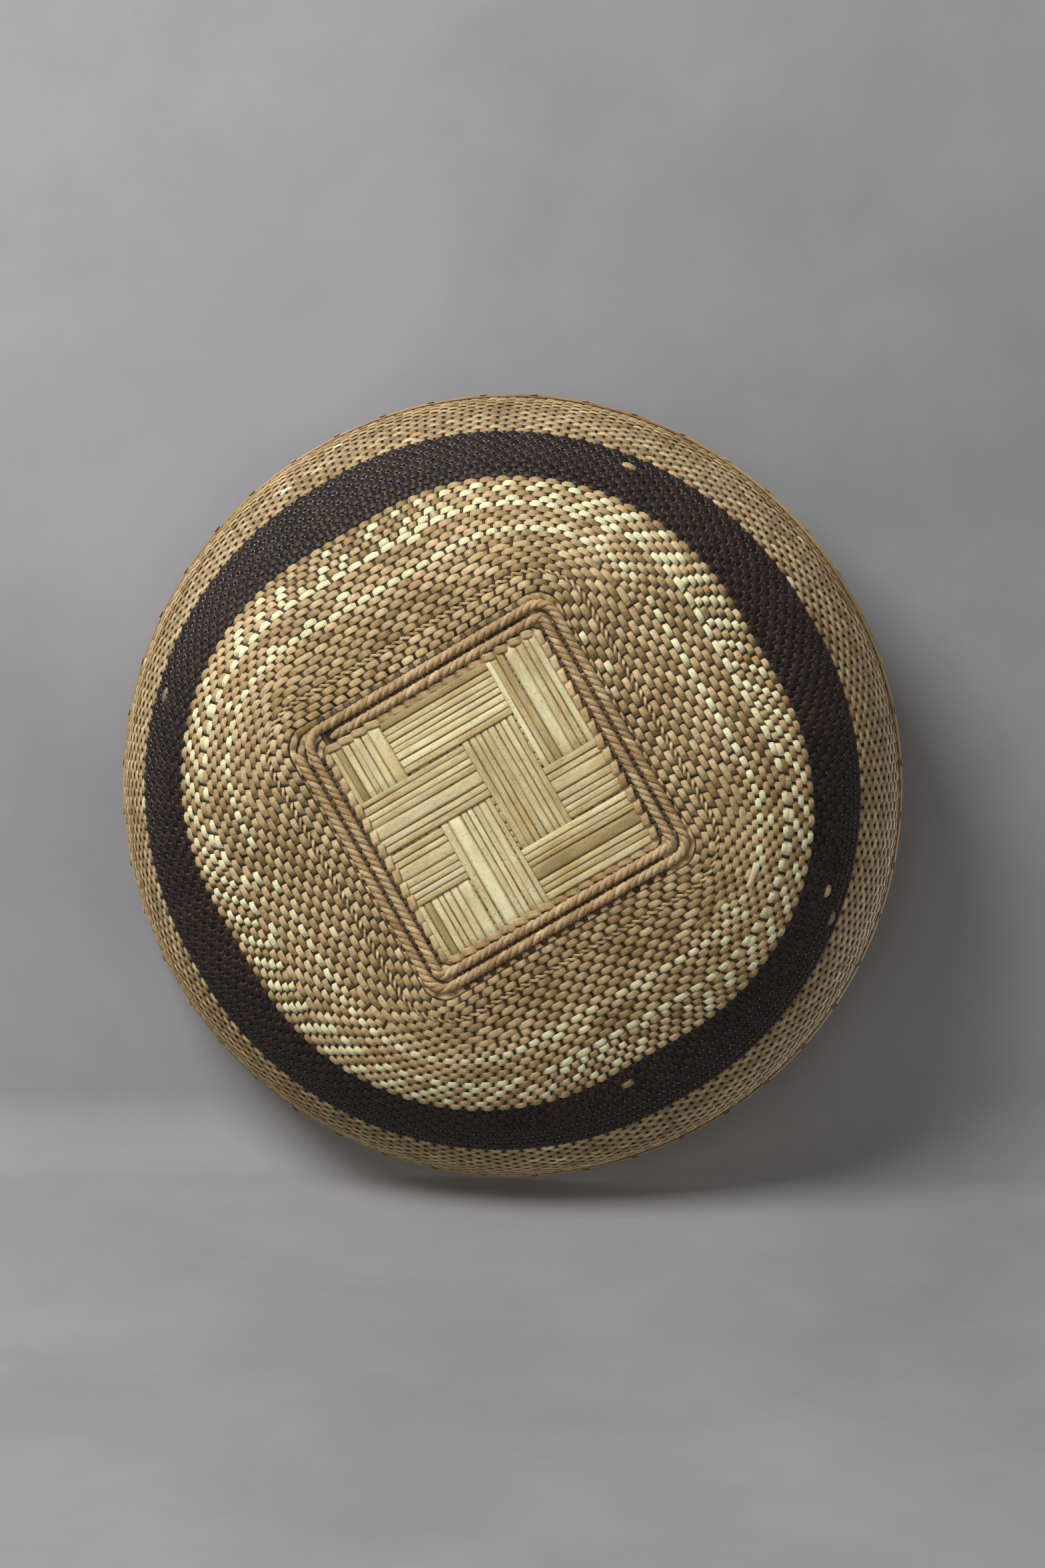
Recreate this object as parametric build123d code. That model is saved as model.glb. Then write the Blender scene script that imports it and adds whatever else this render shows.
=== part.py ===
from build123d import *
import os
from math import atan2, cos, pi, radians, sin, sqrt

# A shallow round hand-woven basket on a square foot, standing upright.
# Millimetres, +Z up, origin on the surface it stands on, under the centre of the foot.
# The foot's sides lie along X and Y.

# ---- base mat: 4 x 4 cells of split slats in a 2/2 twill
bundles = 4                     # bundles of slats each way
slats_per_bundle = 8
cell_size = 25.6                # one cell of the mat
slat_pitch = 3.0
slat_width = 2.7
slat_thickness = 0.8
low_level = 1.5                 # underside of a slat that shows from below
high_level = 2.45               # underside of a slat that shows from inside
foot_level = 2.75               # underside of a slat where it passes through the foot cord
ramp_half = 0.95                # half the gap between bundles, where slats change level
edge_ramp_start = 0.3           # past the mat's edge, where slats leave their level for foot_level
edge_ramp_end = 2.4             # and where they reach it
slat_end_gap = 0.5              # between a slat's end and the stakes
mat_half = bundles * cell_size / 2
# True where the slats along X are the lower ones, by row (from +Y) and column (from +X)
twill_x_low = [
    [False, True, True, False],
    [True, True, False, False],
    [True, False, False, True],
    [False, False, True, True],
]

# ---- flat strip bound round the mat's edge
binding_inner_half = 50.5
binding_outer_half = 53.1
binding_bottom = 0.65
binding_thickness = 0.7
binding_corner_radius = 4.0

# ---- foot cord: one twisted cord in two turns of a squarish spiral
cord_radius = 2.7
cord_pitch = 5.6                # from one turn to the next
cord_first_side = 54.6          # distance of the first side from the spiral's own centre
cord_shift = 1.4                # the spiral's centre, along -X and +Y
cord_turns = 2
cord_centre_height = 2.55
cord_inner_height = 1.55        # how far the inside half rises over the slats
cord_corner_radius = 8.0
cord_gap = 0.1                  # between the cord and the slats
cord_start_trim = 2 * cord_radius
cord_end_trim = 4 * cord_radius

# ---- wall: plain weave over stakes
foot_half = 66.6                # the stakes' middle at the foot
foot_height = 3.15
slope_at_foot = 8.0             # degrees
upright_length = 145.0          # distance up the wall where it stands upright
slope_power = 1.8
foot_corner_share = 0.15        # corner radius over half width, at the foot
corner_power = 3.0
round_limit = 0.998
stake_width = 1.8               # the slats are split narrower before they turn up
stake_thickness = 0.6
added_stake_width = 1.4
stake_stations = 13
foot_spread = 1.08              # how far the stakes spread sideways under the foot cord
corner_stakes = 7               # added from the foot up, round each corner
near_corner_gaps = 6            # gaps at each end of a side that get an added stake next
plain_gaps = [7, 10, 12, 15, 18, 23]   # gaps between stakes that never get an added one
near_corner_start = 27.0        # distance up the wall where the added stakes begin
middle_start = 51.0
weft_near = 0.55                # a float's near face from the stakes' middle
weft_far = 1.6                  # a float's far face
row_gap = 0.15                  # between one row and the next
profile_step = 0.5
tangent_step = 0.2              # to each side of a point, when the wall's direction is found there
inside_band_step = 8.0          # between the edges drawn up the inside bands

# weft rows from the foot up: node name, rows, width of a row along the wall
weft_groups = [
    ("foot_weft_rows", 3, 3.0),
    ("twined_weft_row", 1, 2.6),
    ("lower_weft_rows", 7, 3.0),
    ("lower_cream_row", 1, 3.0),
    ("middle_weft_rows", 4, 3.0),
    ("upper_cream_row", 1, 3.0),
    ("stepped_weft_rows", 4, 3.0),
    ("last_tan_row", 1, 3.0),
    ("dark_weft_rows", 10, 3.1),
    ("upper_weft_rows", 17, 2.6),
]
inside_bands = [
    ("inside_lower_weft", 0, 8),
    ("inside_dark_weft", 8, 9),
    ("inside_upper_weft", 9, 10),
]

# ---- rim
hoop_height = 7.0
hoop_thickness = 2.1
rim_gap = 0.2
hoop_clearance = 0.3            # between the last weft row and the hoops
rim_cane_radius = 2.6
lashing_count = 48
lashing_width = 3.0
lashing_thickness = 0.65
lashing_rise = 0.35             # of the lashing's arch over the cane

os.makedirs("parts", exist_ok=True)


def write(name, solids):
    """Write one node: a single solid, or a group of separate solids."""
    shape = solids[0] if len(solids) == 1 else Compound(children=solids)
    export_step(shape, f"parts/{name}.step")


# ---------------------------------------------------------------- wall surface

def slope(s):
    """Angle of the wall from level, in radians, at a distance s up the wall."""
    return radians(slope_at_foot + (90 - slope_at_foot) * (s / upright_length) ** slope_power)


def trace_profile(length):
    """Half width and height of the stakes' middle at each step up the wall."""
    half, height, points = foot_half, foot_height, [(foot_half, foot_height)]
    for i in range(int(length / profile_step) + 1):
        angle = slope((i + 0.5) * profile_step)
        half += cos(angle) * profile_step
        height += sin(angle) * profile_step
        points.append((half, height))
    return points


weft_length = sum(count * width for _, count, width in weft_groups)
stake_length = weft_length + hoop_clearance + hoop_height
profile = trace_profile(stake_length)


def wall_half(s):
    i = min(int(s / profile_step), len(profile) - 2)
    t = s / profile_step - i
    (a0, z0), (a1, z1) = profile[i], profile[i + 1]
    return a0 + (a1 - a0) * t, z0 + (z1 - z0) * t


def corner_share(s):
    """Corner radius over half width: small at the foot, a full circle at the rim."""
    run = max(0.0, 1 - s / upright_length)
    return min(round_limit, 1 - (1 - foot_corner_share) * run ** corner_power)


def level_outline(s, offset):
    """Rounded square at distance s up the wall, offset outwards from the stakes' middle."""
    half, height = wall_half(s)
    out_half = half + offset * sin(slope(s))
    out_height = height - offset * cos(slope(s))
    outline = RectangleRounded(2 * out_half, 2 * out_half, corner_share(s) * out_half)
    return (Pos(0, 0, out_height) * outline).wire()


def band(stations, near, far):
    """Closed ring of wall between two offsets, with an edge at each station."""
    skins = [[level_outline(s, offset) for s in stations] for offset in (near, far)]
    pairs = [(skins[0][0], skins[1][0]), (skins[0][-1], skins[1][-1])]
    for skin in skins:
        pairs += list(zip(skin, skin[1:]))
    faces = []
    for lower, upper in pairs:
        for edge_a, edge_b in zip(lower.edges(), upper.edges()):
            faces.append(Face.make_surface_from_curves(edge_a, edge_b))
    return Solid(Shell(faces))


def wall_point(s, turn):
    """Point of the stakes' middle at distance s, at plan angle turn."""
    half, height = wall_half(s)
    radius = corner_share(s) * half
    fold = abs((turn + pi / 4) % (pi / 2) - pi / 4)
    flat = half - radius
    if half * sin(fold) <= flat * cos(fold):
        reach = half / cos(fold)
    else:
        along = flat * (cos(fold) + sin(fold))
        reach = along + sqrt(radius ** 2 - flat ** 2 * (1 - sin(2 * fold)))
    return Vector(reach * cos(turn), reach * sin(turn), height)


def wall_plane(s, turn, heading):
    """Plane across the wall: x along the weft, y out of the wall, z up the stake."""
    step = tangent_step
    across = wall_point(s, turn + step / foot_half) - wall_point(s, turn - step / foot_half)
    up = wall_point(s + step, turn + heading * step) - wall_point(s - step, turn - heading * step)
    normal = across.cross(up).normalized()
    return Plane(wall_point(s, turn), x_dir=up.cross(normal), z_dir=up)


def stake(start, turn_at_foot, turn_at_rim, width):
    """Thin strip up the wall from distance start to the rim."""
    rate = (turn_at_rim - turn_at_foot) / stake_length
    sections = []
    for i in range(stake_stations):
        s = start + (stake_length - start) * i / (stake_stations - 1)
        s = min(max(s, 1.05 * tangent_step), stake_length - 1.05 * tangent_step)
        plane = wall_plane(s, turn_at_foot + rate * s, rate)
        sections.append(plane * Rectangle(width, stake_thickness))
    return loft(sections).solid()


def stake_layout():
    """One side's stakes in order: start, plan angle at the foot, at the rim, and if it is added."""
    laterals = []
    for bundle in range(bundles):
        centre = (bundle - (bundles - 1) / 2) * cell_size
        laterals += [foot_spread * (centre + y) for y in slat_offsets()]
    turns = [atan2(lateral, foot_half) for lateral in laterals]
    layout = []
    for i, turn in enumerate(turns):
        layout.append((0.0, turn, False))
        if i + 1 == len(turns):
            step = (pi / 2 - 2 * turn) / (corner_stakes + 1)
            layout += [(0.0, turn + step * (k + 1), True) for k in range(corner_stakes)]
        elif i not in plain_gaps:
            near_corner = min(i, len(turns) - 2 - i) < near_corner_gaps
            start = near_corner_start if near_corner else middle_start
            layout.append((start, (turn + turns[i + 1]) / 2, True))
    rim_step = pi / 2 / len(layout)
    rim_first = rim_step * (corner_stakes + 1) / 2 - pi / 4
    return [(start, turn, rim_first + rim_step * k, is_added)
            for k, (start, turn, is_added) in enumerate(layout)]


# ---------------------------------------------------------------- base

def slat_offsets():
    """Sideways places of the slats of one bundle."""
    return [(i - (slats_per_bundle - 1) / 2) * slat_pitch for i in range(slats_per_bundle)]


def mat_bundle(low_cells, centre, along_x):
    """The slats of one bundle, lower in the cells marked in low_cells."""
    levels = [low_level if low else high_level for low in low_cells]
    slat_end = foot_half - slat_end_gap
    level_end, level_start = mat_half + edge_ramp_end, mat_half + edge_ramp_start
    line = [(slat_end, foot_level), (level_end, foot_level), (level_start, levels[0])]
    for i in range(1, bundles):
        edge = mat_half - i * cell_size
        line += [(edge + ramp_half, levels[i - 1]), (edge - ramp_half, levels[i])]
    line += [(-level_start, levels[-1]), (-level_end, foot_level), (-slat_end, foot_level)]
    line = [p for i, p in enumerate(line)
            if i in (0, len(line) - 1) or not (line[i - 1][1] == p[1] == line[i + 1][1])]
    top = [(x, z + slat_thickness) for x, z in reversed(line)]
    side = make_face(Plane.XZ * Polyline(*line, *top, close=True))
    slat = extrude(side, amount=slat_width / 2, both=True)
    slats = [Pos(0, centre + y, 0) * slat for y in slat_offsets()]
    if not along_x:
        slats = [Rot(0, 0, 90) * (Pos(0, -centre - y, 0) * slat) for y in slat_offsets()]
    return [piece.solid() for piece in slats]


def cord_path(height):
    """Two turns of a squarish spiral, each side further out than the last."""
    sides = 4 * cord_turns
    reach = [cord_first_side + cord_pitch * k / 4 for k in range(-1, sides + 1)]
    # seen from below the cord runs +Y side, -X side, -Y side, +X side
    corner_signs = [(1, 1), (-1, 1), (-1, -1), (1, -1)]
    corners = []
    for k in range(sides + 1):
        x_sign, y_sign = corner_signs[k % 4]
        first, second = reach[k], reach[k + 1]
        x, y = (first, second) if k % 2 == 0 else (second, first)
        corners.append((x_sign * x - cord_shift, y_sign * y + cord_shift, height))
    x, y, _ = corners[0]
    corners[0] = (x - cord_start_trim, y, height)
    x, y, _ = corners[-1]
    corners[-1] = (x, y - cord_end_trim, height)
    return FilletPolyline(*corners, radius=cord_corner_radius)


def cord_half(height, section):
    path = cord_path(height)
    plane = Plane(path @ 0, x_dir=(0, -1, 0), z_dir=path % 0)
    return sweep(plane * section, path=path).solid()


def cord_sections():
    """Outside half with a worn flat underside, and flatter inside half."""
    outer_top = foot_level - cord_gap
    outer = Pos(0, cord_centre_height) * Circle(cord_radius)
    outer &= Pos(0, outer_top / 2) * Rectangle(4 * cord_radius, outer_top)
    inner = Ellipse(cord_radius - cord_gap, cord_inner_height)
    inner &= Pos(0, cord_inner_height) * Rectangle(4 * cord_radius, 2 * cord_inner_height)
    return outer, inner


def edge_binding():
    outer = RectangleRounded(2 * binding_outer_half, 2 * binding_outer_half, binding_corner_radius)
    inner_radius = binding_corner_radius + binding_inner_half - binding_outer_half
    inner = RectangleRounded(2 * binding_inner_half, 2 * binding_inner_half, inner_radius)
    return (Pos(0, 0, binding_bottom) * extrude(outer - inner, amount=binding_thickness)).solid()


# ---------------------------------------------------------------- rim

def rim_cane():
    half, height = wall_half(stake_length)
    profile_face = Circle(rim_cane_radius) & Pos(0, rim_cane_radius) * Rectangle(
        2 * rim_cane_radius, 2 * rim_cane_radius)
    lift = height + hoop_thickness * abs(cos(slope(stake_length))) + 2 * rim_gap
    return revolve(Plane.XZ * (Pos(half, lift) * profile_face), Axis.Z).solid()


def lashing_loop(turn):
    """One loop of flat strip over the cane and down both hoops."""
    inside = weft_near + hoop_thickness + rim_gap
    outside = inside + lashing_thickness
    crown = 2 * rim_gap + lashing_rise
    half_ring = Circle(outside) - Circle(inside)
    half_ring &= Pos(0, outside) * Rectangle(2 * outside, 2 * outside)
    loop = Pos(0, crown) * half_ring
    leg_length = hoop_height + crown
    for side in (-1, 1):
        leg = Rectangle(lashing_thickness, leg_length)
        loop += Pos(side * (inside + outside) / 2, crown - leg_length / 2) * leg
    half, height = wall_half(stake_length)
    low_half, low_height = wall_half(stake_length - hoop_height)
    lean = atan2(height - low_height, half - low_half)
    plane = Plane(
        wall_point(stake_length, turn),
        x_dir=(sin(lean) * cos(turn), sin(lean) * sin(turn), -cos(lean)),
        z_dir=(sin(turn), -cos(turn), 0),
    )
    return extrude(plane * loop, amount=lashing_width / 2, both=True).solid()


# ---------------------------------------------------------------- the object

for row in range(bundles):
    centre = (bundles - 1) / 2 * cell_size - row * cell_size
    write(f"mat_slats_x{row + 1}", mat_bundle(twill_x_low[row], centre, True))
for column in range(bundles):
    centre = (bundles - 1) / 2 * cell_size - column * cell_size
    low_cells = [not twill_x_low[row][column] for row in range(bundles)]
    write(f"mat_slats_y{column + 1}", mat_bundle(low_cells, centre, False))
write("mat_edge_binding", [edge_binding()])

outer_section, inner_section = cord_sections()
write("foot_cord_outside", [cord_half(0, outer_section)])
write("foot_cord_inside", [cord_half(foot_level + slat_thickness + cord_gap, inner_section)])

side_names = ["right", "back", "left", "front"]
for side, side_name in enumerate(side_names):
    facing = side * pi / 2
    stakes, added = [], []
    for start, foot_turn, rim_turn, is_added in stake_layout():
        width = added_stake_width if is_added else stake_width
        strip = stake(start, facing + foot_turn, facing + rim_turn, width)
        (added if is_added else stakes).append(strip)
    write(f"stakes_{side_name}", stakes)
    write(f"added_stakes_{side_name}", added)

group_starts = []
position = 0.0
for name, count, width in weft_groups:
    group_starts.append(position)
    edges = [position + i * width for i in range(count)]
    write(name, [band([edge, edge + width - row_gap], weft_near, weft_far) for edge in edges])
    position += count * width
group_starts.append(position)

for name, first, last in inside_bands:
    low, high = group_starts[first], group_starts[last]
    steps = max(2, round((high - low) / inside_band_step))
    stations = [low + (high - row_gap - low) * i / steps for i in range(steps + 1)]
    write(name, [band(stations, -weft_near, -weft_far)])

hoop_low = weft_length + hoop_clearance
hoop_stations = [hoop_low, hoop_low + hoop_height]
write("rim_outer_hoop", [band(hoop_stations, weft_near, weft_near + hoop_thickness)])
write("rim_inner_hoop", [band(hoop_stations, -weft_near, -weft_near - hoop_thickness)])
write("rim_cane", [rim_cane()])
write("rim_lashing", [lashing_loop((i + 0.5) * 2 * pi / lashing_count) for i in range(lashing_count)])
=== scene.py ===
import random
from math import atan2, cos, floor, hypot, pi, radians, sin, sqrt, tanh

import bmesh
import bpy
from bpy.props import FloatProperty, FloatVectorProperty, PointerProperty
from mathutils import Matrix, Vector


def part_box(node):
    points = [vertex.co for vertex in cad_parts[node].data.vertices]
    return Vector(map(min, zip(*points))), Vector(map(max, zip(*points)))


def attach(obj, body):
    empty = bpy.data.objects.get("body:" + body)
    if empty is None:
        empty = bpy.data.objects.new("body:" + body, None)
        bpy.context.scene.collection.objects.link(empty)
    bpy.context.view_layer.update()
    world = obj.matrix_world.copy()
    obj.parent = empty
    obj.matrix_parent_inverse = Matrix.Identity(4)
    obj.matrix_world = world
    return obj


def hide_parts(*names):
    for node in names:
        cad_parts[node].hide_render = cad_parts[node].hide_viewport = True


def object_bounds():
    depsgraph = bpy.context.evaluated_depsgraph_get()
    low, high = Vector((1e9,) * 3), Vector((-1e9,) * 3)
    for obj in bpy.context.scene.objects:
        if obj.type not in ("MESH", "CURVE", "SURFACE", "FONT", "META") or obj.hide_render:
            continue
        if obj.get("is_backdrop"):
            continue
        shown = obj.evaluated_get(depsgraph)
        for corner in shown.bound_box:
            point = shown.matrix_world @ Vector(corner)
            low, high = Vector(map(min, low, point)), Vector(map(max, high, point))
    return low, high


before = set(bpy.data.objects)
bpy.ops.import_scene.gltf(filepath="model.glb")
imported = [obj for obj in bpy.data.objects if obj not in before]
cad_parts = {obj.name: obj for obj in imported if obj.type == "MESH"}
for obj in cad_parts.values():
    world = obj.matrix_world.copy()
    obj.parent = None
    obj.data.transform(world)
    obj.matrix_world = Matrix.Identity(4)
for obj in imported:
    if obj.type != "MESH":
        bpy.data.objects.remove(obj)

bl_info = {
    "name": "Shallow Woven Basket",
    "version": (1, 0, 0),
    "blender": (4, 5, 0),
    "location": "View3D > Sidebar > Basket",
    "description": "Round hand-woven basket on a square foot, strip by strip",
    "category": "Add Mesh",
}

cad_low, cad_high = (Vector(corner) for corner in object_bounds())

# Lengths below are in millimetres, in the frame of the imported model.
# The base mat
BUNDLES = 4
SLATS_PER_BUNDLE = 8
CELL = 25.6
MAT_HALF = BUNDLES * CELL / 2
LOW_LEVEL = 1.5
HIGH_LEVEL = 2.45
FOOT_LEVEL = 2.75
SLAT_END = 66.1
SLAT_MIDDLE = 0.34  # of a slat over its underside
LEVEL_CHANGE = 2.2  # each side of a cell's edge, where slats change level
# True where the slats along X are the lower ones, by row (from +Y) and column (from +X)
X_SLATS_LOW = (
    (False, True, True, False),
    (True, True, False, False),
    (True, False, False, True),
    (False, False, True, True),
)
# The strips bound round the mat
BINDING_HALF = 52.0
BINDING_CORNER = 3.0
STITCHES_PER_SIDE = 16
COLUMNS_PER_STITCH = 8
# The foot cord
CORD_HEIGHT = 2.42
CORD_PITCH = 5.6
CORD_FIRST_SIDE = 54.6
CORD_SHIFT = 1.4
CORD_CORNERS = (2.6, 8.0)  # radius of the first three corners, and of the rest
CORD_TRIMS = (5.0, 9.0)  # off its start and off its end
CORD_TURNS = 2
CORD_FLOOR = 0.02  # where the worn strands are flat under the cord
# The wall
FOOT_HALF = 66.6
FOOT_HEIGHT = 3.15
FOOT_SLOPE = 8.0
UPRIGHT_LENGTH = 145.0
SLOPE_POWER = 1.8
FOOT_CORNER = 0.15
CORNER_POWER = 3
ROUND_LIMIT = 0.998
WALL_STEP = 0.5
TANGENT_TURN = 0.004
TANGENT_STEP = 0.6
# Its stakes
CORNER_STAKES = 7
PLAIN_GAPS = (7, 10, 12, 15, 18, 23)
CORNER_GAPS = 6  # at each end of a side, where added stakes start low
NEAR_CORNER_START = 27.0
MIDDLE_START = 51.0
FIRST_SPREAD = (8, 46)  # how far up the stakes make room for the first added ones
LAST_SPREAD = (34, 82)
# Its weft
WEFT_LENGTH = 140.8
FULL_ROW = 3.0
TUCKED_ROWS = 5  # rows that run on inwards, behind the foot cord
TUCKED_SLOPE = 0.3
TUCKED_RISE = 0.9
COLUMNS_PER_GAP = 4
FLOAT_CHANGE = 1.6  # how fast a strip crosses between two stakes
FLOAT_SHARE = 0.4  # how far its crossing is moved, which makes the outer floats the longer ones
FLOAT_PEAK = 0.978
LOWER_CREAM_ROW = 11
UPPER_CREAM_ROW = 16
STEPPED_ROWS = (17, 20)
LADDERS = 64
ODD_CREAM = {12: 0.07, 13: 0.10, 15: 0.07}
RARE_CREAM = 0.004
# The rim
HOOP_HEIGHT = 7.0
HOOP_GAP = 0.3
HOOP_THICKNESS = 1.6
HOOP_CLEARANCE = 0.55
STAKE_LENGTH = WEFT_LENGTH + HOOP_GAP + HOOP_HEIGHT
CANE_RADIUS = 2.6
RIM_COLUMNS = 288
LASHINGS = 48

# Weft rows from the foot up: piece, rows, width along the wall, slot, CAD nodes it stands for
WEFT_GROUPS = (
    ("foot_weft", 3 + TUCKED_ROWS, 3.0, "tan_weft", ("foot_weft_rows",)),
    ("twined_weft", 1, 2.6, "tan_weft", ("twined_weft_row",)),
    ("lower_weft", 7, 3.0, "tan_weft", ("lower_weft_rows",)),
    ("lower_cream_weft", 1, 3.0, "cream_weft", ("lower_cream_row",)),
    ("middle_weft", 4, 3.0, "tan_weft", ("middle_weft_rows",)),
    ("upper_cream_weft", 1, 3.0, "cream_weft", ("upper_cream_row",)),
    ("stepped_weft", 4, 3.0, "tan_weft", ("stepped_weft_rows",)),
    ("last_tan_weft", 1, 3.0, "tan_weft", ("last_tan_row", "inside_lower_weft")),
    ("dark_weft", 10, 3.1, "dark_weft", ("dark_weft_rows", "inside_dark_weft")),
    ("upper_weft_a", 9, 2.6, "tan_weft", ("upper_weft_rows",)),
    ("upper_weft_b", 8, 2.6, "tan_weft", ("inside_upper_weft",)),
)

# Cross sections of the strips: place across the strip, place through it, 1 on the outer face,
# and 1 at an edge, where the wood paints shade. Both places are shares of the strip's half width and half
# thickness.
SPLIT_SECTION = ((-1, -0.35, 0, 1), (-0.62, -0.95, 0, 0.2), (0.62, -0.95, 0, 0.2), (1, -0.35, 0, 1),
                 (1, 0.3, 1, 1), (0.55, 1, 1, 0), (-0.55, 1, 1, 0), (-1, 0.3, 1, 1))
WEFT_SECTION = ((-1.04, -0.4, 0, 1), (-0.7, -0.95, 0, 0), (0.7, -0.95, 0, 0), (1.04, -0.4, 0, 1),
                (0.96, 0.25, 1, 1), (0.74, 0.95, 1, 0.15), (-0.74, 0.95, 1, 0.15), (-0.96, 0.25, 1, 1))
THIN_SECTION = ((-1, -0.4, 0, 1), (0, -1, 0, 0), (1, -0.4, 0, 1),
                (1, 0.4, 1, 1), (0, 1, 1, 0), (-1, 0.4, 1, 1))
ROUND_SECTION = tuple((cos(k * pi / 4), sin(k * pi / 4), 1 if k in (1, 2, 3) else 0, 0) for k in range(8))


def srgb(red, green, blue):
    """A screen colour of 0 to 255 in each channel as a scene-linear colour."""
    return tuple((c / 255 / 12.92) if c < 11 else ((c / 255 + 0.055) / 1.055) ** 2.4
                 for c in (red, green, blue))


def mix(a, b, share):
    return a + (b - a) * share


def within_one(value):
    return min(1.0, max(0.0, value))


def colour(name, description, value):
    return FloatVectorProperty(name=name, description=description, subtype="COLOR", size=3,
                               min=0, max=1, default=srgb(*value))


def share_of(name, description, value, top=2.0):
    return FloatProperty(name=name, description=description, default=value, min=0, max=top,
                         subtype="FACTOR")


def length(name, description, millimetres):
    return FloatProperty(name=name, description=description, default=millimetres / 1000, min=0,
                         unit="LENGTH", subtype="DISTANCE")


class BasketSizes(bpy.types.PropertyGroup):
    """Sizes of the strips, strands and bindings"""
    weft_fill: share_of("Weft fill", "Width of a weft strip over the width of its row", 0.97)
    weft_bulge: share_of("Weft bulge", "How much a strip narrows where it passes behind a stake", 0.2)
    weft_thickness: length("Weft thickness", "Thickness of a weft strip", 0.62)
    weave_depth: length("Weave depth", "How far a float passes in front of a stake", 0.72)
    slat_thickness: length("Slat thickness", "Thickness of a slat of the mat", 0.68)
    slat_crown: length("Slat crown", "How far a bundle of slats bows out of its cell", 0.22)
    stake_width: length("Stake width", "Width of a stake between the weft rows", 1.35)
    stake_thickness: length("Stake thickness", "Thickness of a stake", 0.5)
    strand_radius: length("Strand radius", "Radius of one strand of the foot cord", 1.45)
    strand_circle: length("Strand circle", "How far a strand's middle is from the cord's middle", 1.02)
    strand_lay: length("Strand lay", "Length of cord in which a strand goes round once", 11.0)
    binding_width: length("Binding width", "Width of the strips bound round the mat", 3.5)


class BasketColours(bpy.types.PropertyGroup):
    """Colours of the split wood and of the room"""
    tan_light: colour("Tan, light", "Palest tan weft", (206, 182, 138))
    tan_deep: colour("Tan, deep", "Deepest tan weft", (146, 121, 78))
    cream_light: colour("Cream, light", "Palest undyed weft", (226, 220, 178))
    cream_deep: colour("Cream, deep", "Deepest undyed weft", (200, 188, 140))
    dark_light: colour("Dark, light", "Palest of the dyed dark weft", (45, 32, 28))
    dark_deep: colour("Dark, deep", "Deepest of the dyed dark weft", (21, 15, 13))
    slat_light: colour("Slat, light", "Palest slat of the mat", (220, 211, 168))
    slat_deep: colour("Slat, deep", "Deepest slat of the mat", (172, 151, 102))
    cord_light: colour("Cord, light", "Palest strand of the foot cord", (206, 182, 142))
    cord_deep: colour("Cord, deep", "Deepest strand of the foot cord", (146, 118, 80))
    # The stakes' own olive brown, darkened so that the stakes also paint the shade in the gaps of the
    # weave.
    stake_light: colour("Stake, light", "Palest stake", (84, 68, 40))
    stake_deep: colour("Stake, deep", "Deepest stake", (42, 32, 19))
    rim_light: colour("Rim, light", "Palest part of the rim", (204, 180, 138))
    rim_deep: colour("Rim, deep", "Deepest part of the rim", (140, 112, 74))
    room: colour("Room", "Floor and backdrop", (150, 149, 150))


# ---------------------------------------------------------------- materials

def add_node(tree, kind, inputs=(), **settings):
    """A shader node with its settings, and its inputs set or linked by name or place."""
    new = tree.nodes.new(kind)
    for key, value in settings.items():
        setattr(new, key, value)
    for key, value in inputs:
        if isinstance(value, bpy.types.NodeSocket):
            tree.links.new(value, new.inputs[key])
        else:
            new.inputs[key].default_value = value
    return new


def ramp(tree, fac, stops):
    """A colour ramp through (place, colour) stops."""
    new = add_node(tree, "ShaderNodeValToRGB", [("Fac", fac)])
    band = new.color_ramp
    while len(band.elements) < len(stops):
        band.elements.new(0.5)
    for element, (place, value) in zip(band.elements, stops):
        element.position = place
        element.color = (*value, 1)
    return new.outputs["Color"]


def noise(tree, place, scale, detail, *others):
    """Soft spots of 0 to 1. A larger scale makes them smaller."""
    inputs = [("Vector", place), ("Scale", scale), ("Detail", detail), *others]
    return add_node(tree, "ShaderNodeTexNoise", inputs).outputs["Fac"]


def number(tree, operation, a, b=0.0, c=0.0):
    """The output of a math node."""
    inputs = [(0, a), (1, b)] + ([(2, c)] if operation == "MULTIPLY_ADD" else [])
    return add_node(tree, "ShaderNodeMath", inputs, operation=operation).outputs[0]


def blend_colour(tree, share, a, b, kind="MIX"):
    """Colour a blended with colour b. Each may be a value or another node's output."""
    new = add_node(tree, "ShaderNodeMix", data_type="RGBA", blend_type=kind)
    for place, value in ((0, share), (6, a), (7, b)):
        if isinstance(value, bpy.types.NodeSocket):
            tree.links.new(value, new.inputs[place])
        elif place == 0:
            new.inputs[place].default_value = value
        else:
            new.inputs[place].default_value = (*value[:3], 1)
    return new.outputs[2]


def dimmed(value, share):
    return tuple(c * share for c in value)


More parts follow.
